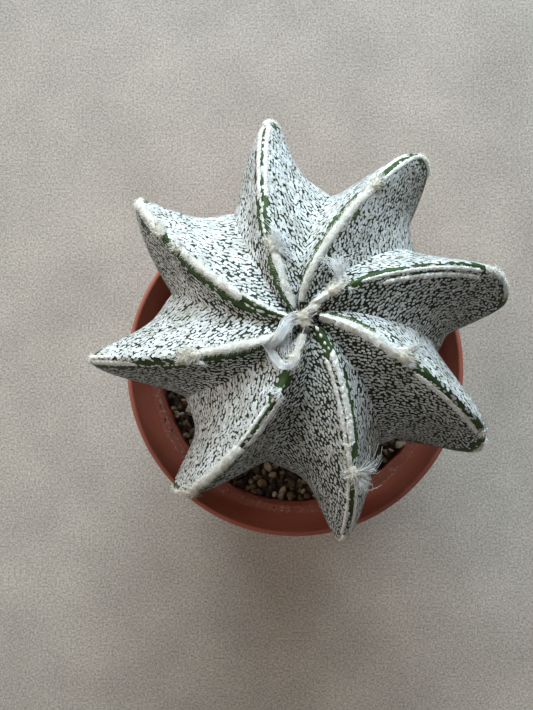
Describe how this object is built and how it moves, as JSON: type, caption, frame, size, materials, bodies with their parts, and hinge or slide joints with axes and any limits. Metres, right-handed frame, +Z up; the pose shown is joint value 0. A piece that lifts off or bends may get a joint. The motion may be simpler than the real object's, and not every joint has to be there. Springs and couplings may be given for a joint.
{
  "type": "potted star cactus",
  "caption": "Ribbed star cactus with woolly crests, leaning a little, in gritty mix in a round plastic pot with a flared collar.",
  "frame": {"origin": "on the ground under the middle of the pot, at the pad in the middle of its underside", "axes": "+Z up out of the pot; +Y the way the plant leans, which is the top of the picture"},
  "size_m": [0.12, 0.122, 0.1546],
  "materials": {
    "pot_plastic": "terracotta-coloured plastic, slightly glossy, with dust on its inner ledge",
    "grit": "rough grains of pumice and fired clay in buff, ochre and grey",
    "skin": "dark green skin under dense raised white flecks",
    "wool": "matted cream felt with loose hairs"
  },
  "bodies": {
    "root": {"pot": "pot_plastic", "growing_mix": "grit", "cactus": "skin", "crest_wool": "wool"}
  },
  "joints": []
}
